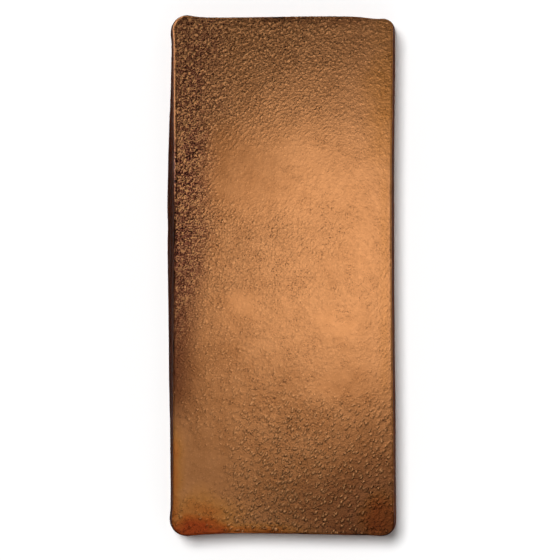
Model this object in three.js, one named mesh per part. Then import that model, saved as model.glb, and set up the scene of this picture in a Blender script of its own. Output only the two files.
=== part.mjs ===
// Cast copper ingot of about one kilogram, lying with its mould face up.
//
// Millimetres, +Z up. The bar's length runs along Y and its width along X, and the origin is
// at the middle of its footprint. One casting, so one closed solid: its outline is lofted up
// the height, from the poured face below, round its brim, up the drafted walls and over the
// crisp edge of the mould face.

import * as THREE from 'three';

// ---- Driving dimensions ----

const LENGTH = 116.0; // across the ears of the left corners, at the brim
const HEAD_WIDTH = 50.0; // across the ears at the head end (+Y), at the brim
const FOOT_WIDTH = 50.5; // across the ears at the foot end (-Y), at the brim
const THICKNESS = 20.1;

const DRAFT_ANGLE = 2.5; // degrees, the walls lean in from the brim to the mould face
const POUR_EDGE_RADIUS = 2.6; // the rim of the melt, rounded by its own surface
const FACE_EDGE_RADIUS = 0.9; // the edge cast in the bottom corner of the mould

const LEFT_CORNER_RADIUS = 3.8; // plan radii at the brim
const FOOT_RIGHT_RADIUS = 3.2;
const HEAD_RIGHT_RADIUS = 2.7; // this corner filled last
const HEAD_RIGHT_SHORTFALL = 0.8; // how far it stays short of the head's left corner

const EAR_RUN = 2.8; // along a side, from the end of a corner's arc to where the side is drawn in
const BELLY = 1.05; // the left wall swells by this much at the brim, and not at the mould face

const FACE_DISH = 0.3; // the mould face sinks by this much in its middle
const FACE_BORDER = 4.0; // from the brim in to where the oval dish begins, in plan
const SINK_DEPTH = 0.8; // the shrinkage hollow in the middle of the poured face
const REST_BORDER = 7.6; // from the brim in to where that oval hollow begins: what is left is flat
const OVAL_SQUARENESS = 2.6; // 2 is an ellipse, and more fills its corners

// The sides in order, anticlockwise from the foot's left corner. `drawn` is how far the metal
// shrank away from the line between the two ears, `bow` bulges it out again or hollows it
// further, and `crest` is where along the side that is greatest.
const FOOT_SIDE = { drawn: 0.19, bow: -0.43, crest: 0.27, belly: 0 };
const RIGHT_SIDE = { drawn: 0.04, bow: -0.32, crest: 0.61, belly: 0 };
const HEAD_SIDE = { drawn: 0.5, bow: 0.86, crest: 0.13, belly: 0 };
const LEFT_SIDE = { drawn: 0.22, bow: -0.2, crest: 0.37, belly: BELLY };

// ---- Fineness of the facets ----

const CORNER_STEPS = 6;
const LONG_SIDE_STEPS = 28;
const SHORT_SIDE_STEPS = 16;
const WALL_STEPS = 5;
const EDGE_STEPS = 5;
const DISH_STEPS = 5;
const DISH_MIDDLE = 0.12; // the flat middle of a dish, as a share of its oval

// ---- Outline in plan ----

const headY = LENGTH / 2;
const footY = -LENGTH / 2;
const footRight = [FOOT_WIDTH / 2, footY];
const headRight = [HEAD_WIDTH / 2, headY - HEAD_RIGHT_SHORTFALL];
const headLeft = [-HEAD_WIDTH / 2, headY];
const footLeft = [-FOOT_WIDTH / 2, footY];
const corners = [
  { reach: footLeft, radius: LEFT_CORNER_RADIUS, side: FOOT_SIDE, steps: SHORT_SIDE_STEPS },
  { reach: footRight, radius: FOOT_RIGHT_RADIUS, side: RIGHT_SIDE, steps: LONG_SIDE_STEPS },
  { reach: headRight, radius: HEAD_RIGHT_RADIUS, side: HEAD_SIDE, steps: SHORT_SIDE_STEPS },
  { reach: headLeft, radius: LEFT_CORNER_RADIUS, side: LEFT_SIDE, steps: LONG_SIDE_STEPS },
];

const smooth = (share) => THREE.MathUtils.smoothstep(share, 0, 1);

// A corner's arc is centred one radius in from the two sides that it touches.
function cornerCentre({ reach: [x, y], radius }) {
  return new THREE.Vector2(x - Math.sign(x) * radius, y - Math.sign(y) * radius);
}

// A point of the arc. The arc of corner `index` starts at its quarter turn and sweeps 90 degrees.
function cornerPoint(index, turn, grow) {
  const angle = Math.PI * (1 + index / 2 + turn / 2);
  const radius = corners[index].radius + grow;
  return new THREE.Vector2(Math.cos(angle), Math.sin(angle))
    .multiplyScalar(radius)
    .add(cornerCentre(corners[index]));
}

// How far a side stands out from the straight line between its two arcs.
function sideOffset(side, along, length, bellyShare) {
  const clearOfEars = smooth((along * length) / EAR_RUN) * smooth(((1 - along) * length) / EAR_RUN);
  const phase =
    along < side.crest ? (0.5 * along) / side.crest : 0.5 + (0.5 * (along - side.crest)) / (1 - side.crest);
  const swell = side.bow + side.belly * bellyShare;
  return swell * Math.sin(Math.PI * phase) ** 2 - side.drawn * clearOfEars;
}

// The closed outline, grown outwards by `grow`, with a share of the left wall's belly.
function outline(grow, bellyShare) {
  const points = [];
  corners.forEach(({ side, steps }, index) => {
    for (let step = 0; step < CORNER_STEPS; step++) {
      points.push(cornerPoint(index, step / CORNER_STEPS, grow));
    }
    const start = cornerPoint(index, 1, grow);
    const end = cornerPoint((index + 1) % corners.length, 0, grow);
    const length = start.distanceTo(end);
    const outward = end.clone().sub(start).normalize().rotateAround(new THREE.Vector2(), -Math.PI / 2);
    for (let step = 0; step < steps; step++) {
      const along = (1 - Math.cos((Math.PI * step) / steps)) / 2;
      const offset = sideOffset(side, along, length, bellyShare);
      points.push(start.clone().lerp(end, along).addScaledVector(outward, offset));
    }
  });
  return points;
}

// ---- Levels of the loft ----

const level = (points, z) => points.map(({ x, y }) => new THREE.Vector3(x, y, z));

// A soft-cornered oval inside `loop` at height z, with a point on the way in from each of its
// points. It keeps `border` from the brim at a size of 1, and a smaller one lies in its middle.
function oval(loop, border, size, z) {
  return loop.map(({ x, y }) => {
    const across = x / (FOOT_WIDTH / 2);
    const along = y / (LENGTH / 2);
    const power = OVAL_SQUARENESS;
    const reach = (Math.abs(across) ** power + Math.abs(along) ** power) ** (1 / power);
    const halfWidth = (FOOT_WIDTH / 2 - border) * size;
    const halfLength = (LENGTH / 2 - border) * size;
    return new THREE.Vector3((across / reach) * halfWidth, (along / reach) * halfLength, z);
  });
}

const draft = THREE.MathUtils.degToRad(DRAFT_ANGLE);
const wallTop = THICKNESS - FACE_EDGE_RADIUS * (1 - Math.sin(draft));
const wallHeight = wallTop - POUR_EDGE_RADIUS;
const wallLean = wallHeight * Math.tan(draft);

// The rounded rim of the poured face, from the land at the bottom out to the brim.
function pourEdge() {
  return Array.from({ length: EDGE_STEPS }, (_, step) => {
    const turn = ((Math.PI / 2) * step) / EDGE_STEPS;
    const grow = -POUR_EDGE_RADIUS * (1 - Math.sin(turn));
    return level(outline(grow, 1), POUR_EDGE_RADIUS * (1 - Math.cos(turn)));
  });
}

// The drafted walls. The belly fades out on the way up.
function walls() {
  return Array.from({ length: WALL_STEPS }, (_, step) => {
    const up = step / WALL_STEPS;
    return level(outline(-wallLean * up, 1 - smooth(up)), POUR_EDGE_RADIUS + wallHeight * up);
  });
}

// The crisp edge of the mould face, a radius that meets the leaning wall and the face.
function faceEdge() {
  const centreGrow = -wallLean - FACE_EDGE_RADIUS * Math.cos(draft);
  return Array.from({ length: EDGE_STEPS + 1 }, (_, step) => {
    const turn = THREE.MathUtils.lerp(draft, Math.PI / 2, step / EDGE_STEPS);
    const grow = centreGrow + FACE_EDGE_RADIUS * Math.cos(turn);
    return level(outline(grow, 0), THICKNESS - FACE_EDGE_RADIUS * (1 - Math.sin(turn)));
  });
}

// Ovals from the border inwards to a small flat middle, `rise` higher than the edge there.
function dish(edge, border, rise) {
  return Array.from({ length: DISH_STEPS + 1 }, (_, step) => {
    const share = step / DISH_STEPS;
    const size = THREE.MathUtils.lerp(1, DISH_MIDDLE, share);
    return oval(edge, border, size, edge[0].z + rise * smooth(share));
  });
}

// ---- Loft ----

// Joins equal loops, given from the bottom middle outwards, up and in again, and closes both
// ends with a flat cap.
function loft(loops) {
  const count = loops[0].length;
  const positions = loops.flat().flatMap((point) => point.toArray());
  const indices = [];
  for (let row = 0; row + 1 < loops.length; row++) {
    for (let column = 0; column < count; column++) {
      const a = row * count + column;
      const b = row * count + ((column + 1) % count);
      indices.push(a, b, b + count, a, b + count, a + count);
    }
  }
  const cap = (loop) => THREE.ShapeUtils.triangulateShape(loop.map(({ x, y }) => new THREE.Vector2(x, y)), []);
  const last = (loops.length - 1) * count;
  cap(loops[0]).forEach(([a, b, c]) => indices.push(a, c, b));
  cap(loops.at(-1)).forEach(([a, b, c]) => indices.push(last + a, last + b, last + c));

  const geometry = new THREE.BufferGeometry();
  geometry.setAttribute('position', new THREE.Float32BufferAttribute(positions, 3));
  geometry.setIndex(indices);
  return geometry;
}

// ---- The ingot ----

function ingotGeometry() {
  const rim = pourEdge();
  const sink = dish(rim[0], REST_BORDER, SINK_DEPTH);
  const edge = faceEdge();
  const face = dish(edge.at(-1), FACE_BORDER, -FACE_DISH);
  const geometry = loft([...sink.reverse(), ...rim, ...walls(), ...edge, ...face]);

  // The origin goes to the middle of the footprint, whatever the bows and the belly add.
  geometry.computeBoundingBox();
  const middle = geometry.boundingBox.getCenter(new THREE.Vector3());
  geometry.translate(-middle.x, -middle.y, 0);
  geometry.computeVertexNormals();
  return geometry;
}

const copper = new THREE.MeshStandardMaterial({ color: 0xb9774a, roughness: 0.4, metalness: 1 });

const ingot = new THREE.Mesh(ingotGeometry(), copper);
ingot.name = 'ingot';

const part = new THREE.Group();
part.add(ingot);

export default part;
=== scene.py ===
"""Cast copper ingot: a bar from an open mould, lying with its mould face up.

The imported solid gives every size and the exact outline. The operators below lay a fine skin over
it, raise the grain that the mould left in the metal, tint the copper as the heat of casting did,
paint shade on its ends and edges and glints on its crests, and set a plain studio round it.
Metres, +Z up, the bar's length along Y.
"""

import math

import bmesh
import bpy
import numpy as np
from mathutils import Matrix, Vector, noise
from mathutils.bvhtree import BVHTree


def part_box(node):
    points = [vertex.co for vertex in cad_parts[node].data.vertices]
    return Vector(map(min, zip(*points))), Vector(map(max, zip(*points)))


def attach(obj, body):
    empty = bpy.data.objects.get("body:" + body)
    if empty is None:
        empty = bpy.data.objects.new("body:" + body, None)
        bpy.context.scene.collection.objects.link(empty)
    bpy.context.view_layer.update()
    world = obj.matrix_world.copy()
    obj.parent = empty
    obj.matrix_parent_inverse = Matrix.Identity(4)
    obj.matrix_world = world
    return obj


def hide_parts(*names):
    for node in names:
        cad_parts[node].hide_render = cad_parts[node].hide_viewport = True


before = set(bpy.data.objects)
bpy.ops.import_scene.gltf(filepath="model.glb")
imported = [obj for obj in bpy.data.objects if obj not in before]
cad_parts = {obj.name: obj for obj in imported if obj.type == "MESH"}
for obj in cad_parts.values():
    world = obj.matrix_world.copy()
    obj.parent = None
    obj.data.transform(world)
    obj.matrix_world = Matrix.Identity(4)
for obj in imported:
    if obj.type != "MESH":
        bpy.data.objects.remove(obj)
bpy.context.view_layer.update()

bl_info = {
    "name": "Cast Copper Ingot",
    "version": (1, 0, 0),
    "blender": (4, 5, 0),
    "location": "3D View > Sidebar > Ingot",
    "description": "Skins, grains and tints a cast copper bar, and lights it",
    "category": "Add Mesh",
}

MM = 0.001
CAD_NODE = "ingot"
NODE_LOW, NODE_HIGH = (Vector(corner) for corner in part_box(CAD_NODE))
FACE_HEIGHT = NODE_HIGH.z
HALF_WIDTH = (NODE_HIGH.x - NODE_LOW.x) / 2
HALF_LENGTH = (NODE_HIGH.y - NODE_LOW.y) / 2

# Places on the mould face are in millimetres from its middle: x across to the right, y along to
# the head.

# A profile is a list of stops, each a place along y and the value there. These are the oxidised
# strip down the left side: where it ends, how thick the oxide is and how rough.
STRIP_BORDER = ((-58, -27), (-30, -24), (-13, -20.5), (-2, -18), (9, -17), (22, -17.5), (33, -15.5),
                (45, -14), (58, -13))
STRIP_DEPTH = ((-30, 0), (-20, 0.15), (-8, 0.55), (6, 0.9), (20, 1.0), (36, 0.9), (58, 0.65))
STRIP_GRAIN = ((-30, 0.5), (-18, 1.1), (-8, 1.5), (10, 1.9), (58, 2.3))
STRIP_FADE = 8  # how wide its soft border is

# How strongly the grain stands out along the left, the middle and the right of the face, and how
# much of it is large grain.
GRAIN_ACROSS = (-14, 0, 18)  # where across the face those three lie
GRAIN_LEFT = ((-58, 1.2), (-45, 0.7), (-28, 0.8), (-12, 0.8), (0, 1.1), (10, 1.1), (20, 0.5),
              (27, 0.6), (34, 1.5), (58, 2.4))
GRAIN_MIDDLE = ((-58, 2.1), (-46, 2.0), (-34, 1.4), (-26, 0.9), (-18, 0.7), (-6, 0.7), (9, 1.0),
                (18, 0.4), (27, 0.2), (33, 0.9), (42, 1.6), (58, 2.4))
GRAIN_RIGHT = ((-58, 1.5), (-44, 1.4), (-31, 1.1), (-24, 0.5), (0, 0.6), (24, 0.4), (34, 0.7),
               (48, 1.0), (58, 1.6))
LARGE_SHARE = ((-58, 0.9), (-35, 0.8), (-20, 0.5), (0, 0.4), (30, 0.45), (58, 0.45))

# An oval patch has its middle, its half axes and how soft its border is, as a share of them.
SMOOTH_PATCHES = (  # where the melt lay quiet against the mould
    ((-9, 23), (9, 7), 0.9),
    ((-8.5, -6.5), (4.5, 5), 0.9),
    ((12, -10.5), (4.5, 3), 0.9),
    ((13, -24), (6, 4), 0.9),
    ((-20, -43), (7, 8), 0.9),
)
SMOOTHING = 0.5  # how much of the grain a smooth patch takes away
BLISTERED_PATCH = ((9, 2), (20, 24), 0.8)
DULL_PATCH = ((-9, 24), (9, 10), 1.2)
RED_CORNER = ((-22, -57.5), (13, 5), 1.4)  # heat tint
GOLDEN_SIDE = ((-17, -53), (10, 6), 1.6)
RED_SPOT = ((22, -53), (5, 6), 1.6)
GOLDEN_HEAD = ((24, 40), (7, 20), 1.4)
DARK_CORNER = ((25, -58), (20, 16), 1.6)  # maroon tarnish

# A zone has its sides across and its sides along. Each side is a pair: where the zone starts, and
# where it is full.
# DARK_SIDE pushes the oxide darker along the outer left edge, partly as painted shade; LEFT_WALL
# darkens the left wall's scale as painted shade.
DARK_SIDE = (((-18.5, -24.5),), ((34, 24), (-8, 6)))  # oxide
LEFT_WALL = (((-22, -24),), ((14, 8),))
LEFT_FLANK = (((-16, -25),), ((18, 2), (-38, -22)))  # maroon tarnish
HEAD_BAND = (((-12, -2), (22, 17)), ((54, 57),))
LEFT_EDGE = (((-18.5, -24.5),), ((-26, -38),))  # heat tint
RIGHT_EDGE = (((19.5, 22.5), (24.5, 23)), ((-40, -20),))
FOOT_EDGE = (((16, -4),), ((-52.5, -56.5),))
RUBBED_EDGE = (((-20, -23),), ((12, 20),))  # where the edge of the face is rounder
BRIGHT_EDGE = (((-20, -23),), ((14, 22),))  # and where scale keeps off it
# Scale that runs over the edge of the face is partly real and partly painted shade: its dark band
# stands in for the edge's dark reflection.
SCALED_FLANK = (((-20, -23),), ((18, 10), (-34, -24)))  # where scale runs further over it
SCALED_HEAD = (((-6, 0), (21, 17)), ((50, 54),))
SCALED_FOOT = ((), ((-50, -54),))
SCALED_CORNER = (((12, 17),), ((-50, -54),))

# Each unevenness, with the length of its waves, its seed and its octaves.
WAVES = {
    "stray_across": (9 * MM, 1, 2),
    "stray_along": (9 * MM, 2, 2),
    "blotches": (5 * MM, 5, 3),
    "warp_x": (1.5 * MM, 21, 2),
    "warp_y": (1.5 * MM, 22, 2),
    "warp_z": (1.5 * MM, 23, 2),
    "clusters": (8 * MM, 31, 2),
    "ripples": (2.6 * MM, 41, 1),
    "swell": (12 * MM, 42, 1),
    "laps": (25 * MM, 51, 2),
    "folds": (7 * MM, 61, 3),
    "creep": (4 * MM, 71, 2),
}

# Each kind of grain, with its seed, its radius as a share of the spacing and the share of places
# that have one.
GRAINS = {"small": (1, 0.62, 0.85), "large": (2, 0.6, 0.8), "blisters": (3, 0.5, 0.6)}


def linear(code):
    """The linear RGB of an sRGB hex code."""
    channels = (int(code[i:i + 2], 16) / 255 for i in (1, 3, 5))
    return tuple(c / 12.92 if c <= 0.04045 else ((c + 0.055) / 1.055) ** 2.4 for c in channels)


def length_property(name, description, default):
    return bpy.props.FloatProperty(
        name=name, description=description, default=default, min=0, unit="LENGTH", precision=5)


def colour_property(name, description, code):
    return bpy.props.FloatVectorProperty(
        name=name, description=description, default=linear(code), size=3, min=0, max=1, subtype="COLOR")


def level_property(name, description, default):
    return bpy.props.FloatProperty(
        name=name, description=description, default=default, min=0, soft_max=4)


class IngotSkin(bpy.types.PropertyGroup):
    """Sizes of the mesh and of the relief that casting left on it."""

    fine_step: length_property("Fine step", "Mesh spacing on the mould face", 0.3 * MM)
    coarse_step: length_property("Coarse step", "Mesh spacing on the poured face", 1.0 * MM)
    wall_step: length_property("Wall step", "Height of a row on the walls", 1.1 * MM)
    corner_radius: length_property("Corner radius", "Plan radius that the mesh is bent round", 3.4 * MM)
    face_edge: length_property("Face edge", "Radius of the edge round the mould face", 0.3 * MM)
    pour_edge: length_property("Pour edge", "Radius of the rim of the poured face", 2.6 * MM)
    small_grain: length_property("Small grain", "Height of the small grain", 0.018 * MM)
    small_spacing: length_property("Small spacing", "Between small grains", 0.85 * MM)
    large_grain: length_property("Large grain", "Height of the large grain", 0.038 * MM)
    large_spacing: length_property("Large spacing", "Between large grains", 1.35 * MM)
    blister: length_property("Blister", "Height of the blisters in the quiet middle", 0.02 * MM)
    blister_spacing: length_property("Blister spacing", "Between blisters in a cluster", 1.1 * MM)
    ripple: length_property("Ripple", "Height of the slow waves under the grain", 0.004 * MM)
    swell: length_property("Swell", "Height of the slowest unevenness", 0.02 * MM)
    lap: length_property("Lap", "Height of the pouring laps round the walls", 0.1 * MM)


class IngotColours(bpy.types.PropertyGroup):
    """Colours of bare, tarnished and heated copper."""

    # Rubbed copper is partly wear on the crests and partly painted glints there and in the chilled
    # strip.
    bright: colour_property("Rubbed copper", "Crests of the grain", "#F4AC70")
    clean: colour_property("Clean copper", "Bare metal", "#E8A067")
    dull: colour_property("Dull copper", "Lightly tarnished metal", "#B87745")
    straw: colour_property("Straw", "Thinnest heat tint", "#E0944C")
    orange: colour_property("Orange", "A thicker film", "#D8742E")
    red: colour_property("Red", "Cuprous oxide", "#C64C1C")
    maroon: colour_property("Maroon", "Thicker still, on the left flank and at the foot", "#6E3622")
    brown: colour_property("Brown oxide", "A thin film of it", "#AC6E52")
    film: colour_property("Dark brown oxide", "The thicker film of the chilled strip", "#7E4430")
    black: colour_property("Black oxide", "In hollows and pores", "#2C191A")
    # The walls' scale is real, and its darkness is partly painted shade that stands in for the walls'
    # dark reflection.
    rust: colour_property("Red-brown scale", "On the walls", "#9A5B37")
    scale: colour_property("Scale", "The thicker patches of it on the walls", "#4A2C1C")
    # Painted shade: the edge colour is a black band on the edge of the face and on the left wall, in
    # place of their dark reflection.
    edge: colour_property("Edge scale", "Thick scale, baked black on the edge of the face", "#1E120D")


class IngotStage(bpy.types.PropertyGroup):
    """Camera, lamps and floor."""

    camera_height: length_property("Camera height", "Above the mould face", 1.3)
    key_height: length_property("Key height", "Of the soft key lamp above the mould face", 0.17)
    key_width: length_property("Key width", "Of the key lamp, across the bar", 0.04)
    key_length: length_property("Key length", "Of the key lamp, along the bar", 0.07)
    key_level: level_property("Key level", "Radiance of the key lamp", 2.42)
    fill_height: length_property("Fill height", "Of the soft fill lamp above the mould face", 0.25)
    fill_size: length_property("Fill size", "Across the fill lamp", 0.12)
    fill_level: level_property("Fill level", "Radiance of the fill lamp", 0.36)
    sky_low: level_property("Sky at the horizon", "Radiance there", 0.9)
    sky_ring: level_property("Sky between", "Radiance of the dark ring round the overhead panel", 0.04)
    sky_high: level_property("Sky overhead", "Radiance there", 0.24)
    floor_lamp: level_property("Floor lamp", "Irradiance of the lamp that only the floor sees", 3.3)


# ---- Soft steps, patches and zones ----

def step(value, start, full):
    """A soft step from 0 at the start to 1 where it is full, which may lie on either side."""
    t = np.clip((value - start) / (full - start), 0.0, 1.0)
    return t * t * (3 - 2 * t)


def profile(stops, y):
    """The value of a profile at each place along the bar."""
    return np.interp(y, *zip(*stops))


def patch(x, y, centre, radii, softness):
    """1 inside an oval patch, 0 outside it, with a soft border."""
    reach = np.hypot((x - centre[0]) / radii[0], (y - centre[1]) / radii[1])
    return step(reach, 1 + softness / 2, 1 - softness / 2)


def zone(x, y, across, along):
    """1 inside a zone, 0 outside it, with soft sides."""
    inside = np.ones_like(x)
    for start, full in across:
        inside = inside * step(x, start, full)
    for start, full in along:
        inside = inside * step(y, start, full)
    return inside


# ---- The skin of the bar ----

SAME_POINT = 0.001 * MM  # corners of facets nearer than this are one corner
FLAT_ENOUGH = 1.0  # radians between two triangles that are joined to one facet
ROUNDINGS = 2  # times that the facets are subdivided
PATCH_SIZE = 2.5  # side of the square in which a corner is bent round, in corner radii
ON_RIM = 1e-6  # how near to 1 a place on the rim of a grid is
FACE_EDGE_ROWS = 3  # rows of mesh round the edge of the mould face
POUR_EDGE_ROWS = 6  # and round the rim of the poured face


def solid_tree(node):
    """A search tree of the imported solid, with its facets rounded off."""
    bm = bmesh.new()
    bm.from_mesh(node.data)
    bmesh.ops.remove_doubles(bm, verts=bm.verts, dist=SAME_POINT)
    bmesh.ops.join_triangles(
        bm, faces=bm.faces, angle_face_threshold=FLAT_ENOUGH, angle_shape_threshold=math.pi)
    mesh = bpy.data.meshes.new("facets")
    bm.to_mesh(mesh)
    bm.free()
    facets = bpy.data.objects.new("facets", mesh)
    bpy.context.collection.objects.link(facets)
    rounding = facets.modifiers.new("rounding", "SUBSURF")
    rounding.levels = rounding.render_levels = ROUNDINGS
    tree = BVHTree.FromObject(facets, bpy.context.evaluated_depsgraph_get())
    bpy.data.objects.remove(facets)
    bpy.data.meshes.remove(mesh)
    return tree


def round_corners(x, y, radius):
    """Turns a sheet's square corners into round ones. Gives the places and the outward ways."""
    patch_size = radius * PATCH_SIZE
    a = (np.abs(x) - HALF_WIDTH + patch_size) / patch_size
    b = (np.abs(y) - HALF_LENGTH + patch_size) / patch_size
    in_patch = (a > 0) & (b > 0)
    reach = np.where(in_patch, np.maximum(a, b), 1.0)
    straight = patch_size - radius
    path = 2 * straight + radius * math.pi / 2
    along = np.where(a >= b, b / reach, 2 - a / reach) / 2 * path
    turn = np.clip((along - straight) / radius, 0, math.pi / 2)
    past_arc = along > path - straight
    local_x = np.where(past_arc, path - along, straight + radius * np.cos(turn)) * reach
    local_y = np.where(along < straight, along, straight + radius * np.sin(turn)) * reach
    new_x = np.where(in_patch, np.sign(x) * (HALF_WIDTH - patch_size + local_x), x)
    new_y = np.where(in_patch, np.sign(y) * (HALF_LENGTH - patch_size + local_y), y)
    out_x = np.where(in_patch, np.cos(turn), a > b) * np.sign(x)
    out_y = np.where(in_patch, np.sin(turn), b >= a) * np.sign(y)
    return np.stack((new_x, new_y), -1), np.stack((out_x, out_y), -1)


class Sheet:
    """A gridded sheet that covers one face of the bar and is folded down its sides."""

    REACH = 2.0 * MM  # how far inside the rim the search for the wall starts
    CLEAR = 1.0 * MM  # how far the rounding of the solid's crisp edge reaches, at most
    LIFT = 1.0 * MM  # how far off the face the search for it starts
    RUBBED = 0.4 * MM  # what rubbing adds to the radius of the edge round the mould face

    def __init__(self, bm, tree, step, radius):
        self.bm, self.tree = bm, tree
        self.columns = round(2 * HALF_WIDTH / step)
        self.rows = round(2 * HALF_LENGTH / step)
        before = set(bm.verts)
        bmesh.ops.create_grid(bm, x_segments=self.columns, y_segments=self.rows, size=1)
        self.verts = [v for v in bm.verts if v not in before]
        u = np.array([v.co.x for v in self.verts])
        v = np.array([v.co.y for v in self.verts])
        self.flat, self.ways = round_corners(u * HALF_WIDTH, v * HALF_LENGTH, radius)
        self.u, self.v = (u + 1) / 2, (v + 1) / 2
        self.rim = np.nonzero(np.maximum(np.abs(u), np.abs(v)) > 1 - ON_RIM)[0]
        self.layer = bm.verts.layers.int["rim"]
        for place, index in enumerate(self.rim):
            self.verts[index][self.layer] = place
        edge_verts = {self.verts[i] for i in self.rim}
        self.edges = [e for e in bm.edges if e.is_boundary and e.verts[0] in edge_verts]

    def walls_at(self, height):
        """Where the bar's wall is at a height, one point for each vertex of the rim."""
        points = []
        for index in self.rim:
            way = Vector((*self.ways[index], 0)).normalized()
            start = Vector((*self.flat[index], height)) - way * self.REACH
            hit = self.tree.ray_cast(start, way)[0]
            if hit is None:
                raise RuntimeError(f"no wall at height {height:.4f} beside {start}")
            points.append(hit)
        return np.array(points)

    def lay(self, rim_places, height, way_up):
        """Stretches the sheet to its rim and drops it on the solid."""
        shift = np.zeros_like(self.flat)
        shift[self.rim] = rim_places[:, :2] - self.flat[self.rim]
        grid = shift.reshape(self.rows + 1, self.columns + 1, 2)
        u = self.u.reshape(self.rows + 1, self.columns + 1)[..., None]
        v = self.v.reshape(self.rows + 1, self.columns + 1)[..., None]
        left, right, foot, head = grid[:, :1], grid[:, -1:], grid[:1, :], grid[-1:, :]
        corners = ((1 - u) * (1 - v) * grid[0, 0] + u * (1 - v) * grid[0, -1]
                   + (1 - u) * v * grid[-1, 0] + u * v * grid[-1, -1])
        moved = (1 - u) * left + u * right + (1 - v) * foot + v * head - corners
        places = self.flat + moved.reshape(-1, 2)
        inset_x, inset_y = 1 - self.CLEAR / HALF_WIDTH, 1 - self.CLEAR / HALF_LENGTH
        for vert, (x, y) in zip(self.verts, places):
            start = Vector((x * inset_x, y * inset_y, height + way_up * self.LIFT))
            hit = self.tree.ray_cast(start, Vector((0, 0, -way_up)))[0]
            vert.co = (x, y, hit.z if hit is not None else height)

    def fold(self, places):
        """Adds one more row round the rim, at the given places."""
        folded = bmesh.ops.extrude_edge_only(self.bm, edges=self.edges)["geom"]
        new_verts = {g for g in folded if isinstance(g, bmesh.types.BMVert)}
        self.edges = [
            g for g in folded if isinstance(g, bmesh.types.BMEdge) and new_verts.issuperset(g.verts)]
        for vert in new_verts:
            vert.co = places[vert[self.layer]]


def skin_sheet(bm, tree, step, corner_radius, edge_radius, edge_rows, wall_heights, way_up):
    """Covers one face, its rounded edge and the wall beside it. Gives the edges that stay open."""
    sheet = Sheet(bm, tree, step, corner_radius)
    level = FACE_HEIGHT if way_up > 0 else 0.0
    wall = sheet.walls_at(level - way_up * max(edge_radius, Sheet.CLEAR))
    rubbed = zone(*sheet.flat[sheet.rim].T / MM, *RUBBED_EDGE) * (way_up > 0)
    edge_radius = edge_radius + sheet.RUBBED * rubbed
    out = np.column_stack((sheet.ways[sheet.rim], np.zeros(len(sheet.rim))))
    out /= np.linalg.norm(out, axis=1)[:, None]

    def edge_row(turn):
        row = wall - out * edge_radius[:, None] * (1 - math.cos(turn))
        row[:, 2] = level - way_up * edge_radius * (1 - math.sin(turn))
        return row

    sheet.lay(edge_row(math.pi / 2), level, way_up)
    for row in range(edge_rows - 1, -1, -1):
        sheet.fold(edge_row(math.pi / 2 * row / edge_rows))
    for height in wall_heights:
        sheet.fold(sheet.walls_at(height))
    return sheet.edges


def bar_mesh(skin, tree):
    """The whole skin as one closed mesh: a fine sheet from above and a coarse one from below."""
    bm = bmesh.new()
    bm.verts.layers.int.new("rim")
    top = FACE_HEIGHT - Sheet.CLEAR
    joint = skin.pour_edge + skin.wall_step
    rows = round((top - joint) / skin.wall_step)
    upper = [top + (joint - top) * (row + 1) / (rows + 1) for row in range(rows)]
    above = skin_sheet(
        bm, tree, skin.fine_step, skin.corner_radius, skin.face_edge, FACE_EDGE_ROWS, upper, 1)
    below = skin_sheet(
        bm, tree, skin.coarse_step, skin.corner_radius, skin.pour_edge, POUR_EDGE_ROWS, [joint], -1)
    bmesh.ops.bridge_loops(bm, edges=above + below)
    bmesh.ops.recalc_face_normals(bm, faces=bm.faces)
    for face in bm.faces:
        face.smooth = True
    bm.normal_update()
    return bm


# ---- Relief and heat, worked out at each vertex ----

OCTAVE_FADE = 1.6  # how much weaker each finer octave is
LOWEST = 0.35  # height of the lowest grain beside the highest


def waves(points, name):
    """Smooth unevenness, about -1 to 1, at each point."""
    wavelength, seed, octaves = WAVES[name]
    offset = Vector((17.3, 5.1, 9.7)) * seed
    total = np.zeros(len(points))
    for octave in range(octaves):
        scale = 2 ** octave / wavelength
        heights = np.array([noise.noise(point * scale + offset) for point in points])
        total += heights / OCTAVE_FADE ** octave
    return total


def domes(points, name, spacing):
    """Round grains of random height, 0 to 1, which may touch."""
    seed, width, share = GRAINS[name]
    offset = Vector((3.7, 11.9, 7.3)) * seed
    radius = width * spacing
    heights = np.zeros(len(points))
    for index, point in enumerate(points):
        distances, features = noise.voronoi(point / spacing + offset)
        reach = distances[0] * spacing / radius
        if reach < 1:
            luck = 0.5 + 0.5 * noise.cell(features[0] * 13.7)
            if luck < share:
                heights[index] = (1 - reach * reach) ** 2 * (LOWEST + (1 - LOWEST) * luck / share)
    return heights


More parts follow.
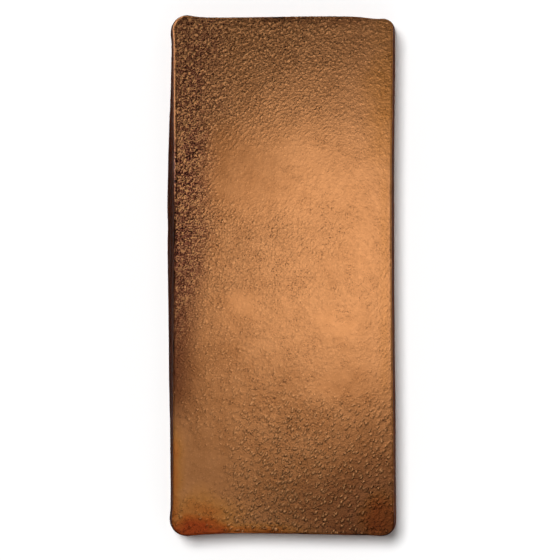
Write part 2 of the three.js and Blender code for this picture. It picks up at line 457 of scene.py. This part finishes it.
class Zones:
    """How strongly each thing shows at each vertex of the skin, from 0 to about 1."""

    STRAY = 2.2  # millimetres by which the borders stray
    CREEP = 14  # degrees of tilt by which the scale's border strays
    SCALE_START = 36  # degrees of tilt where the scale starts
    SCALE_FADE = 22
    WALL_TILT = (78, 84)  # degrees of tilt from where the scale is everywhere
    # Painted shade: the share of the edge's black band on the left wall.
    LEFT_WALL_PAINTED_SHADE = 0.22  # how much of the edge's black the left wall has

    def __init__(self, vectors, normals):
        x, y = np.array(vectors).T[:2] / MM
        wx = x + self.STRAY * waves(vectors, "stray_across")
        wy = y + self.STRAY * waves(vectors, "stray_along")
        up = normals[:, 2]
        self.face = step(up, 0.5, 0.9)
        self.pour = step(up, -0.3, -0.8)
        self.wall = 1 - self.face - self.pour
        self.spread(x, y, wx, wy)
        self.colour(vectors, up, x, y, wx, wy)

    def spread(self, x, y, wx, wy):
        """Where the grain is strong and where it is quiet."""
        border = profile(STRIP_BORDER, wy)
        self.strip = step(wx, border + STRIP_FADE / 2, border - STRIP_FADE / 2)
        quiet = np.ones_like(x)
        for smooth_patch in SMOOTH_PATCHES:
            quiet *= 1 - SMOOTHING * patch(wx, wy, *smooth_patch)
        left, middle, right = (profile(stops, wy) for stops in (GRAIN_LEFT, GRAIN_MIDDLE, GRAIN_RIGHT))
        left_x, middle_x, right_x = GRAIN_ACROSS
        to_right = np.clip((wx - middle_x) / (right_x - middle_x), 0, 1)
        to_left = np.clip((wx - middle_x) / (left_x - middle_x), 0, 1)
        strength = (middle + (right - middle) * to_right + (left - middle) * to_left) * quiet
        strength += (profile(STRIP_GRAIN, wy) - strength) * self.strip
        share = profile(LARGE_SHARE, wy)
        self.small = strength * (1 - share)
        self.large = strength * share
        self.middle = patch(x, y, *BLISTERED_PATCH)

    def colour(self, vectors, up, x, y, wx, wy):
        """Where metal is oxidised, dull, tinted by heat, tarnished or under scale, and where shade is
        painted.
        """
        tilt = np.degrees(np.arccos(np.clip(up, -1, 1)))
        blotch = 0.5 + 0.6 * waves(vectors, "blotches")
        # The strip's oxide is real; DARK_SIDE pushes it darker along the outer left edge, partly as
        # painted shade, and LEFT_WALL is painted shade on the left wall.
        self.oxide = np.maximum.reduce([
            self.strip * profile(STRIP_DEPTH, wy) * (0.75 + 0.4 * blotch) * step(tilt, 34, 14),
            1.3 * zone(x, y, *DARK_SIDE),
            zone(x, y, *LEFT_WALL) * (1 - self.face),
        ])
        # Dullness is partly tarnish and partly painted shade, darker towards both ends and on the left
        # half.
        head_end, foot_end, left = step(wy, 18, 58), step(wy, -4, -40), step(wx, 4, -20)
        self.dull = (0.1 + 0.3 * head_end + 0.62 * foot_end
                     + 0.45 * left * (1 - head_end) * step(wy, -36, -16)
                     + 0.3 * patch(wx, wy, *DULL_PATCH) + 0.3 * (blotch - 0.5) + 0.4 * self.pour)
        self.dull = np.clip(self.dull, 0, 1)
        self.temper = np.maximum.reduce([
            0.66 * patch(wx, wy, *RED_CORNER),
            0.36 * patch(wx, wy, *GOLDEN_SIDE),
            0.45 * patch(wx, wy, *RED_SPOT),
            0.28 * patch(wx, wy, *GOLDEN_HEAD),
            0.42 * zone(x, y, *LEFT_EDGE),
            0.45 * zone(x, y, *FOOT_EDGE),
            0.2 * zone(x, y, *RIGHT_EDGE),
        ])
        self.tarnish = np.maximum.reduce([
            0.72 * patch(wx, wy, *DARK_CORNER),
            0.45 * zone(x, y, *HEAD_BAND),
            0.85 * zone(x, y, *LEFT_FLANK),
        ])
        # The scale is partly real and partly painted shade where it darkens the walls and creeps over
        # the edge of the face.
        self.rim = self.scale_and_painted_shade(vectors, tilt, x, y) * (1 - self.pour)
        # Painted shade: black on the edge of the face and, in part, on the left wall.
        self.edge = self.rim * np.maximum(step(up, 0.08, 0.2), self.LEFT_WALL_PAINTED_SHADE * step(x, -20, -24))

    def scale_and_painted_shade(self, vectors, tilt, x, y):
        """Scale on the walls, partly painted shade. It creeps over the face's edge, further in places.
        """
        creep = self.CREEP * waves(vectors, "creep")
        foot = 0.65 * zone(x, y, *SCALED_FOOT) + 0.35 * zone(x, y, *SCALED_CORNER)
        start = (self.SCALE_START + 34 * zone(x, y, *BRIGHT_EDGE) - 18 * zone(x, y, *SCALED_FLANK)
                 - 14 * zone(x, y, *SCALED_HEAD) - 24 * foot)
        crept = step(tilt + creep, start, start + self.SCALE_FADE)
        return np.maximum(crept, step(tilt, *self.WALL_TILT))


WARP = 0.22 * MM  # how far a grain is pushed out of round


def raise_grain(bm, skin):
    """Moves the skin in and out by the grain, and gives the zones for the material."""
    verts = list(bm.verts)
    vectors = [v.co.copy() for v in verts]
    zones = Zones(vectors, np.array([v.normal for v in verts]))
    warps = [WARP * waves(vectors, name) for name in ("warp_x", "warp_y", "warp_z")]
    warped = [point + Vector(warp) for point, warp in zip(vectors, zip(*warps))]
    small = domes(warped, "small", skin.small_spacing)
    large = domes(warped, "large", skin.large_spacing)
    blisters = domes(warped, "blisters", skin.blister_spacing)
    clusters = step(0.5 + 1.6 * waves(vectors, "clusters"), 0, 1)

    outer = 1 - zones.pour
    height = outer * (skin.small_grain * zones.small * small + skin.large_grain * zones.large * large)
    height += skin.blister * zones.middle * zones.face * clusters * blisters
    height += skin.ripple * waves(vectors, "ripples")
    height += skin.swell * outer * waves(vectors, "swell")
    height += laps(vectors, skin) * zones.wall + shrinkage(vectors) * zones.pour
    for vert, lift in zip(verts, height):
        vert.co += vert.normal * lift
    return {
        "small_grain": zones.small * zones.face,
        "large_grain": zones.large * zones.face,
        "oxide": zones.oxide * outer,
        "temper": zones.temper * outer,
        "tarnish": zones.tarnish * outer,
        "dull": zones.dull,
        "rim": zones.rim,
        "edge": zones.edge,
    }


LAP_SPACING = 4.6  # millimetres of height between two laps
LAP_SWAY = 0.8  # of that spacing, by which a lap rises and falls
LAPS_END = (16, 8)  # millimetres up the wall where they fade in, from above


def laps(vectors, skin):
    """Level ripples round the walls, where the rising melt paused against the mould."""
    sway = LAP_SWAY * waves(vectors, "laps")
    z = np.array([point.z for point in vectors]) / MM
    return skin.lap * step(z, *LAPS_END) * np.sin(2 * math.pi * (z / LAP_SPACING + sway))


RING_SPACING = 2.4  # millimetres, for one radian of a wrinkle
SUNK = (0.05, 0.65)  # millimetres above the land over which the hollow's wrinkles fade in


def shrinkage(vectors):
    """The skin of the poured face, which wrinkled as the metal under it shrank."""
    x, y, z = np.array(vectors).T / MM
    folds = waves(vectors, "folds")
    rings = np.sin(np.hypot(x * 1.6, y) / RING_SPACING + 2.2 * folds)
    return -MM * step(z, *SUNK) * (0.1 + 0.05 * folds + 0.035 * rings)


# ---- Materials ----

def add(tree, kind, settings=None, links=None):
    """Adds a node, sets its values and joins its inputs to other nodes' outputs."""
    node = tree.nodes.new(kind)
    for name, value in (settings or {}).items():
        if isinstance(name, int) or name in node.inputs:
            node.inputs[name].default_value = value
        else:
            setattr(node, name, value)
    for name, output in (links or {}).items():
        tree.links.new(output, node.inputs[name])
    return node


def new_material(name):
    material = bpy.data.materials.new(name)
    material.use_nodes = True
    tree = material.node_tree
    tree.nodes.clear()
    return material, tree


def set_stops(ramp, stops):
    """Gives a new ramp its stops, each a position and a colour."""
    elements = ramp.color_ramp.elements
    for position, colour in stops[1:-1]:
        elements.new(position)
    for element, (position, colour) in zip(elements, stops):
        element.position, element.color = position, (*colour, 1)


# Short names for the kinds of node that recur.
MATH, RANGE, MIX = "ShaderNodeMath", "ShaderNodeMapRange", "ShaderNodeMix"
NOISE, CELLS, RAMP = "ShaderNodeTexNoise", "ShaderNodeTexVoronoi", "ShaderNodeValToRGB"

# A Mix node's sockets where it mixes colours: its share, its two colours and what it gives.
SHARE, FIRST, SECOND, MIXED = 0, 6, 7, 2

# Sizes of the copper's patterns. The crinkles of a cast skin are too fine to show, so they are
# drawn as coarse as they need to show.
CRINKLE = 0.34 * MM
LUMP = 1.1 * MM  # unevenness about as wide as a grain
BLOTCH = 3.5 * MM  # and several times as wide
CLOUD = 4.5 * MM  # a patch of the walls' scale
CLOUD_SHAPE = (0.75, 0.75, 1.1)  # how many come in that length across, along and up
GRANULE = 0.65 * MM  # from one granule to the next
PEBBLE = 1.05 * MM  # from one pebble to the next
PEBBLE_SHAPE = (1.4, 0.85, 1)  # its length and width beside a round one's
PEBBLE_LEAN = math.radians(50)
SQUEEZE = 0.7 * MM  # how far granules and pebbles are pushed out of round
RELIEF = 0.032 * MM  # height of the relief that is too fine for the mesh


def cast_copper(colours):
    """Copper as cast in an open mould: bare metal, with the oxides that the heat of casting left.

    The metal is dull at the ends, partly tarnish and partly painted shade, and bright on the crests,
    partly rubbed and partly painted glints. Thin oxide tints it straw, orange and red at the corners.
    Thicker oxide leaves the chilled strip brown, with black hollows between bright specks. The walls
    keep a matt brown scale, darker as painted shade, with a black band of painted shade where it runs
    over the edge of the face.
    """
    material, tree = new_material("copper_as_cast")
    place = add(tree, "ShaderNodeTexCoord").outputs["Object"]
    names = ("small_grain", "large_grain", "oxide", "temper", "tarnish", "dull", "rim", "edge")
    small_grain, large_grain, oxide, temper, tarnish, dull, rim, edge = (
        add(tree, "ShaderNodeAttribute", {"attribute_name": name}).outputs["Fac"] for name in names)
    noises = [
        add(tree, NOISE, {"Scale": 1 / size, "Detail": 2.0, "Roughness": 0.6}, {"Vector": place})
        for size in (CRINKLE, LUMP, BLOTCH)]
    fine, small, broad = (node.outputs["Fac"] for node in noises)

    # Granules, close set, and pebbles, set apart. Both are squeezed out of round.
    squeezed = add(tree, "ShaderNodeVectorMath", {"operation": "MULTIPLY_ADD", 1: (SQUEEZE,) * 3},
                   {0: noises[1].outputs["Color"], 2: place}).outputs[0]
    close = add(tree, CELLS, {"voronoi_dimensions": "2D", "Scale": 1 / GRANULE}, {"Vector": squeezed})
    granule = add(tree, RANGE,
                  {"interpolation_type": "SMOOTHSTEP", "From Max": 0.7, "To Min": 1.0, "To Max": 0.0},
                  {0: close.outputs["Distance"]}).outputs[0]
    turned = add(tree, "ShaderNodeMapping",
                 {"vector_type": "TEXTURE", "Rotation": (0, 0, PEBBLE_LEAN), "Scale": PEBBLE_SHAPE},
                 {"Vector": squeezed}).outputs[0]
    spaced = add(tree, CELLS, {"voronoi_dimensions": "2D", "Scale": 1 / PEBBLE}, {"Vector": turned})
    ragged = add(tree, MATH, {"operation": "MULTIPLY_ADD", 1: -0.5},
                 {0: small, 2: spaced.outputs["Distance"]}).outputs[0]
    pebble = add(tree, RANGE,
                 {"interpolation_type": "SMOOTHSTEP", "From Min": -0.28, "From Max": 0.25,
                  "To Min": 1.0, "To Max": 0.0}, {0: ragged}).outputs[0]
    luck = add(tree, RANGE, {"From Min": 0.1, "From Max": 0.5},
               {0: spaced.outputs["Color"]}).outputs[0]
    pebble = add(tree, MATH, {"operation": "MULTIPLY"}, {0: pebble, 1: luck}).outputs[0]
    granules = add(tree, MATH, {"operation": "MULTIPLY"}, {0: granule, 1: small_grain}).outputs[0]
    pebbles = add(tree, MATH, {"operation": "MULTIPLY"}, {0: pebble, 1: large_grain}).outputs[0]

    # Bare metal, from clean to dull; the dull share is partly tarnish and partly painted shade.
    uneven = add(tree, MATH, {"operation": "MULTIPLY_ADD", 1: 0.5, 2: -0.25}, {0: broad}).outputs[0]
    dullness_and_painted_shade = add(tree, MATH, {"operation": "ADD", "use_clamp": True}, {0: dull, 1: uneven}).outputs[0]
    metal = add(tree, MIX,
                {"data_type": "RGBA", FIRST: (*colours.clean, 1), SECOND: (*colours.dull, 1)},
                {SHARE: dullness_and_painted_shade}).outputs[MIXED]

    # Temper colours, which follow the heat and are blotched a little, and maroon tarnish.
    blotched = add(tree, MATH, {"operation": "MULTIPLY_ADD", 1: 0.5, 2: 0.75}, {0: broad}).outputs[0]
    blotched = add(tree, MATH, {"operation": "MULTIPLY"}, {0: temper, 1: blotched}).outputs[0]
    tint = add(tree, RAMP, links={0: blotched})
    set_stops(tint, (
        (0.1, colours.clean), (0.3, colours.straw), (0.45, colours.orange), (0.62, colours.red)))
    cover = add(tree, RANGE, {"From Min": 0.02, "From Max": 0.35, "To Max": 0.85},
                {0: blotched}).outputs[0]
    tinted = add(tree, MIX, {"data_type": "RGBA"},
                 {SHARE: cover, FIRST: metal, SECOND: tint.outputs[0]}).outputs[MIXED]
    tinted = add(tree, MIX, {"data_type": "RGBA", SECOND: (*colours.maroon, 1)},
                 {SHARE: tarnish, FIRST: tinted}).outputs[MIXED]

    # Stain, which stays in the hollows between the granules.
    hollow = add(tree, MATH, {"operation": "SUBTRACT", 0: 1.0}, {1: granule}).outputs[0]
    stain = add(tree, MATH, {"operation": "MULTIPLY"}, {0: hollow, 1: small_grain}).outputs[0]
    stain = add(tree, RANGE, {"From Min": 0.15, "From Max": 1.8, "To Max": 0.6}, {0: stain}).outputs[0]
    stained = add(tree, MIX, {"data_type": "RGBA", SECOND: (*colours.black, 1)},
                  {SHARE: stain, FIRST: tinted}).outputs[MIXED]

    # Oxide of the chilled strip: black in the hollows, brown between, and bright specks that are
    # partly worn metal and partly painted glints. Where it is thickest it is a little darker, partly
    # as painted shade along the left edge.
    mottle = fine
    for source, weight in ((small, 0.7), (broad, 0.2)):
        mottle = add(tree, MATH, {"operation": "MULTIPLY_ADD", 1: weight},
                     {0: source, 2: mottle}).outputs[0]
    mottle = add(tree, MATH, {"operation": "MULTIPLY", 1: 0.9}, {0: mottle}).outputs[0]
    thick = add(tree, RANGE, {"From Min": 0.95, "From Max": 1.3, "To Max": 0.08},
                {0: oxide}).outputs[0]
    mottle = add(tree, MATH, {"operation": "SUBTRACT"}, {0: mottle, 1: thick}).outputs[0]
    crust = add(tree, RAMP, links={0: mottle})
    set_stops(crust, (
        (0.7, colours.black), (0.78, colours.film), (0.9, colours.brown), (0.96, colours.bright)))
    crusted = add(tree, MIX, {"data_type": "RGBA"},
                  {SHARE: oxide, FIRST: stained, SECOND: crust.outputs[0]}).outputs[MIXED]

    # Pores, in clusters and wherever there is grain.
    both = add(tree, MATH, {"operation": "ADD"}, {0: small_grain, 1: large_grain}).outputs[0]
    deep = add(tree, RANGE, {"From Min": 0.44, "From Max": 0.34}, {0: fine}).outputs[0]
    cluster = add(tree, RANGE, {"From Min": 0.5, "From Max": 0.6, "To Max": 0.45},
                  {0: broad}).outputs[0]
    cluster = add(tree, MATH, {"operation": "MULTIPLY_ADD", 1: 0.55},
                  {0: both, 2: cluster}).outputs[0]
    cluster = add(tree, MATH, {"operation": "SUBTRACT", 1: 0.3}, {0: cluster}).outputs[0]
    pores = add(tree, MATH, {"operation": "MULTIPLY", "use_clamp": True},
                {0: deep, 1: cluster}).outputs[0]
    pored = add(tree, MIX, {"data_type": "RGBA", SECOND: (*colours.black, 1)},
                {SHARE: pores, FIRST: crusted}).outputs[MIXED]

    # Crests that are bright, partly rubbed wear and partly painted glints, a few granules more than the
    # others. Tarnish and heat tint dull them.
    rubbed = add(tree, RANGE, {"From Min": 0.7, "From Max": 0.8, "To Min": 0.1, "To Max": 0.35},
                 {0: close.outputs["Color"]}).outputs[0]
    crest = add(tree, MATH, {"operation": "MULTIPLY_ADD"},
                {0: granules, 1: rubbed, 2: fine}).outputs[0]
    for source, weight in ((pebbles, 0.33), (tarnish, -0.2), (temper, -0.3)):
        crest = add(tree, MATH, {"operation": "MULTIPLY_ADD", 1: weight},
                    {0: source, 2: crest}).outputs[0]
    specks = add(tree, RANGE, {"From Min": 0.62, "From Max": 0.8}, {0: crest}).outputs[0]
    specked = add(tree, MIX, {"data_type": "RGBA", SECOND: (*colours.bright, 1)},
                  {SHARE: specks, FIRST: pored}).outputs[MIXED]

    # Scale on the walls, patchy and in places worn through, its darkness partly painted shade, and a
    # black band of painted shade on the edge of the face.
    level = add(tree, "ShaderNodeMapping", {"Scale": CLOUD_SHAPE}, {"Vector": place}).outputs[0]
    cloud = add(tree, NOISE, {"Scale": 1 / CLOUD, "Detail": 5.0, "Roughness": 0.72},
                {"Vector": level}).outputs["Fac"]
    patchy = add(tree, MATH, {"operation": "MULTIPLY_ADD", 1: 0.1}, {0: oxide, 2: cloud}).outputs[0]
    patchy = add(tree, RANGE, {"From Min": 0.36, "From Max": 0.7, "To Min": 0.3, "To Max": 0.72},
                 {0: patchy}).outputs[0]
    scale_and_shade_colour = add(tree, MIX,
                {"data_type": "RGBA", FIRST: (*colours.rust, 1), SECOND: (*colours.scale, 1)},
                {SHARE: patchy}).outputs[MIXED]
    worn = add(tree, MATH, {"operation": "SUBTRACT"}, {0: fine, 1: cloud}).outputs[0]
    worn = add(tree, RANGE, {"From Min": 0.1, "From Max": 0.2, "To Max": 0.4}, {0: worn}).outputs[0]
    scale_and_shade_colour = add(tree, MIX, {"data_type": "RGBA", SECOND: (*colours.dull, 1)},
                {SHARE: worn, FIRST: scale_and_shade_colour}).outputs[MIXED]
    scale_and_shade_colour = add(tree, MIX, {"data_type": "RGBA", SECOND: (*colours.edge, 1)},
                {SHARE: edge, FIRST: scale_and_shade_colour}).outputs[MIXED]
    colour = add(tree, MIX, {"data_type": "RGBA"},
                 {SHARE: rim, FIRST: specked, SECOND: scale_and_shade_colour}).outputs[MIXED]

    # Scale is rougher than metal, and loses metal's white sheen at a grazing angle.
    rough = add(tree, MATH, {"operation": "MULTIPLY_ADD", 1: 0.08, 2: 0.29}, {0: small}).outputs[0]
    rough = add(tree, MATH, {"operation": "MULTIPLY_ADD", 1: 0.12}, {0: rim, 2: rough}).outputs[0]
    sheen = add(tree, MATH, {"operation": "SUBTRACT", 0: 1.0}, {1: rim}).outputs[0]

    # Relief: crinkles where there is grain or scale, and the granules and pebbles.
    crinkled = add(tree, MATH, {"operation": "MULTIPLY_ADD", 1: 0.8}, {0: rim, 2: both}).outputs[0]
    relief = add(tree, MATH, {"operation": "MULTIPLY"}, {0: fine, 1: crinkled}).outputs[0]
    relief = add(tree, MATH, {"operation": "MULTIPLY", 1: 1.15}, {0: relief}).outputs[0]
    for source, weight in ((pebbles, 1.7), (granules, 0.65)):
        relief = add(tree, MATH, {"operation": "MULTIPLY_ADD", 1: weight},
                     {0: source, 2: relief}).outputs[0]
    bump = add(tree, "ShaderNodeBump", {"Distance": RELIEF}, {"Height": relief}).outputs[0]

    shader = add(tree, "ShaderNodeBsdfPrincipled", {"Metallic": 1.0},
                 {"Base Color": colour, "Roughness": rough, "Specular Tint": sheen, "Normal": bump})
    add(tree, "ShaderNodeOutputMaterial", links={0: shader.outputs[0]})
    return material


def studio_sheet():
    """Matt white paper sheet, which scatters light evenly and keeps the shadow."""
    material, tree = new_material("studio_white_sheet")
    matt = add(tree, "ShaderNodeBsdfDiffuse", {"Color": (*linear("#E7E7E7"), 1)})
    add(tree, "ShaderNodeOutputMaterial", links={0: matt.outputs[0]})
    return material


# ---- Operators ----

class INGOT_OT_casting(bpy.types.Operator):
    """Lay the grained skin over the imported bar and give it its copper"""

    bl_idname = "ingot.casting"
    bl_label = "Cast the Ingot"
    bl_options = {"REGISTER", "UNDO"}

    def execute(self, context):
        skin = context.scene.ingot_skin
        bm = bar_mesh(skin, solid_tree(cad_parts[CAD_NODE]))
        stored = raise_grain(bm, skin)
        mesh = bpy.data.meshes.new("cast_bar")
        bm.verts.layers.int.remove(bm.verts.layers.int["rim"])
        bm.to_mesh(mesh)
        bm.free()
        for name, values in stored.items():
            attribute = mesh.attributes.new(name, "FLOAT", "POINT")
            attribute.data.foreach_set("value", values.astype(np.float32))
        mesh.materials.append(cast_copper(context.scene.ingot_colours))
        bar = bpy.data.objects.new("cast_bar", mesh)
        context.collection.objects.link(bar)
        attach(bar, "root")
        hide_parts(CAD_NODE)
        return {"FINISHED"}


class INGOT_OT_stage(bpy.types.Operator):
    """Set the floor, the soft lamps, the sky and the camera"""

    bl_idname = "ingot.stage"
    bl_label = "Set the Stage"
    bl_options = {"REGISTER", "UNDO"}

    FRAME_PIXELS = 560  # across the frame that the camera sees, and along it
    MM_PER_PIXEL = 0.22  # in the plane of the mould face
    BAR_MIDDLE = (281.75, 275.5)  # the pixel of the frame where the bar's middle is
    KEY_SHINE = (335, 255)  # where the key lamp mirrors in the mould face
    FILL_SHINE = (200, 470)  # where the fill lamp does
    SENSOR = 36.0  # millimetres across
    FLOOR_REACH = 3.0  # metres from the floor's middle to each side
    SKY_UPS = (0.4, 0.65, 0.9, 0.97)  # how far up the sky's levels stand, from 0 at the horizon to 1
    FLOOR_LAMP_LEAN = (5.9, 7.6)  # degrees from overhead, towards the left and towards the head
    FLOOR_LAMP_SPREAD = 11.0  # degrees across, which sets how soft the shadow is

    def execute(self, context):
        stage = context.scene.ingot_stage
        floor = self.lay_floor(context, stage)
        self.hang_lamp(context, "key_lamp", self.KEY_SHINE, stage.key_height,
                       (stage.key_width, stage.key_length), stage.key_level)
        self.hang_lamp(context, "fill_lamp", self.FILL_SHINE, stage.fill_height,
                       (stage.fill_size, stage.fill_size), stage.fill_level)
        self.light_floor(context, floor, stage)
        self.paint_sky(context, stage)
        self.stand_camera(context, stage)
        context.scene.view_settings.view_transform = "Standard"
        return {"FINISHED"}

    def place_of(self, pixel):
        """The place on the mould face that a pixel of the frame shows."""
        x = (pixel[0] - self.BAR_MIDDLE[0]) * self.MM_PER_PIXEL * MM
        y = (self.BAR_MIDDLE[1] - pixel[1]) * self.MM_PER_PIXEL * MM
        return x, y

    def lay_floor(self, context, stage):
        bm = bmesh.new()
        bmesh.ops.create_grid(bm, x_segments=1, y_segments=1, size=self.FLOOR_REACH)
        mesh = bpy.data.meshes.new("studio_floor")
        bm.to_mesh(mesh)
        bm.free()
        mesh.materials.append(studio_sheet())
        floor = bpy.data.objects.new("studio_floor", mesh)
        context.collection.objects.link(floor)
        return floor

    def hang_lamp(self, context, name, shine, height, size, level):
        """An oval lamp over the bar, placed so that it mirrors to the camera at a pixel of the face."""
        light = bpy.data.lights.new(name, "AREA")
        light.shape = "ELLIPSE"
        light.size, light.size_y = size
        light.energy = level * math.pi * (math.pi / 4 * size[0] * size[1])
        lamp = bpy.data.objects.new(name, light)
        x, y = self.place_of(shine)
        camera_height = context.scene.ingot_stage.camera_height
        share = (camera_height + height) / camera_height
        lamp.location = (x * share, y * share, FACE_HEIGHT + height)
        lamp.visible_camera = False
        context.collection.objects.link(lamp)

    def light_floor(self, context, floor, stage):
        """A distant lamp that shines on the floor alone, and so draws the bar's shadow on it."""
        light = bpy.data.lights.new("floor_lamp", "SUN")
        light.energy = stage.floor_lamp
        light.angle = math.radians(self.FLOOR_LAMP_SPREAD)
        lamp = bpy.data.objects.new("floor_lamp", light)
        lean_x, lean_y = (math.radians(lean) for lean in self.FLOOR_LAMP_LEAN)
        lamp.rotation_euler = (-lean_y, -lean_x, 0)
        context.collection.objects.link(lamp)
        lit = bpy.data.collections.new("lit_by_floor_lamp")
        lit.objects.link(floor)
        lamp.light_linking.receiver_collection = lit

    def paint_sky(self, context, stage):
        world = bpy.data.worlds.new("studio_sky")
        context.scene.world = world
        world.use_nodes = True
        tree = world.node_tree
        tree.nodes.clear()
        way = add(tree, "ShaderNodeTexCoord").outputs["Generated"]
        up = add(tree, "ShaderNodeSeparateXYZ", links={0: way}).outputs["Z"]
        ramp = add(tree, RAMP, links={0: up})
        levels = (stage.sky_low, stage.sky_ring, stage.sky_ring, stage.sky_high)
        set_stops(ramp, [(place, (level,) * 3) for place, level in zip(self.SKY_UPS, levels)])
        sky = add(tree, "ShaderNodeBackground", links={"Strength": ramp.outputs[0]})
        add(tree, "ShaderNodeOutputWorld", links={0: sky.outputs[0]})

    def stand_camera(self, context, stage):
        lens = bpy.data.cameras.new("camera")
        lens.sensor_width = self.SENSOR
        lens.lens = self.SENSOR * stage.camera_height / (self.FRAME_PIXELS * self.MM_PER_PIXEL * MM)
        camera = bpy.data.objects.new("camera", lens)
        x, y = self.place_of((self.FRAME_PIXELS / 2, self.FRAME_PIXELS / 2))
        camera.location = (x, y, FACE_HEIGHT + stage.camera_height)
        context.collection.objects.link(camera)
        context.scene.camera = camera


class INGOT_PT_sidebar(bpy.types.Panel):
    """The ingot's sizes, colours and steps"""

    bl_label = "Copper Ingot"
    bl_idname = "INGOT_PT_sidebar"
    bl_space_type = "VIEW_3D"
    bl_region_type = "UI"
    bl_category = "Ingot"

    def draw(self, context):
        for group in GROUPS:
            box = self.layout.box()
            for name in GROUPS[group].__annotations__:
                box.prop(getattr(context.scene, group), name)
        for operator in OPERATORS:
            self.layout.operator(operator.bl_idname)


GROUPS = {"ingot_skin": IngotSkin, "ingot_colours": IngotColours, "ingot_stage": IngotStage}
OPERATORS = (INGOT_OT_casting, INGOT_OT_stage)
CLASSES = (*GROUPS.values(), *OPERATORS, INGOT_PT_sidebar)


def register():
    for cls in CLASSES:
        bpy.utils.register_class(cls)
    for name, group in GROUPS.items():
        setattr(bpy.types.Scene, name, bpy.props.PointerProperty(type=group))


def unregister():
    for name in GROUPS:
        delattr(bpy.types.Scene, name)
    for cls in reversed(CLASSES):
        bpy.utils.unregister_class(cls)


def main():
    register()
    bpy.ops.ingot.casting()
    bpy.ops.ingot.stage()


if __name__ == "__main__":
    main()
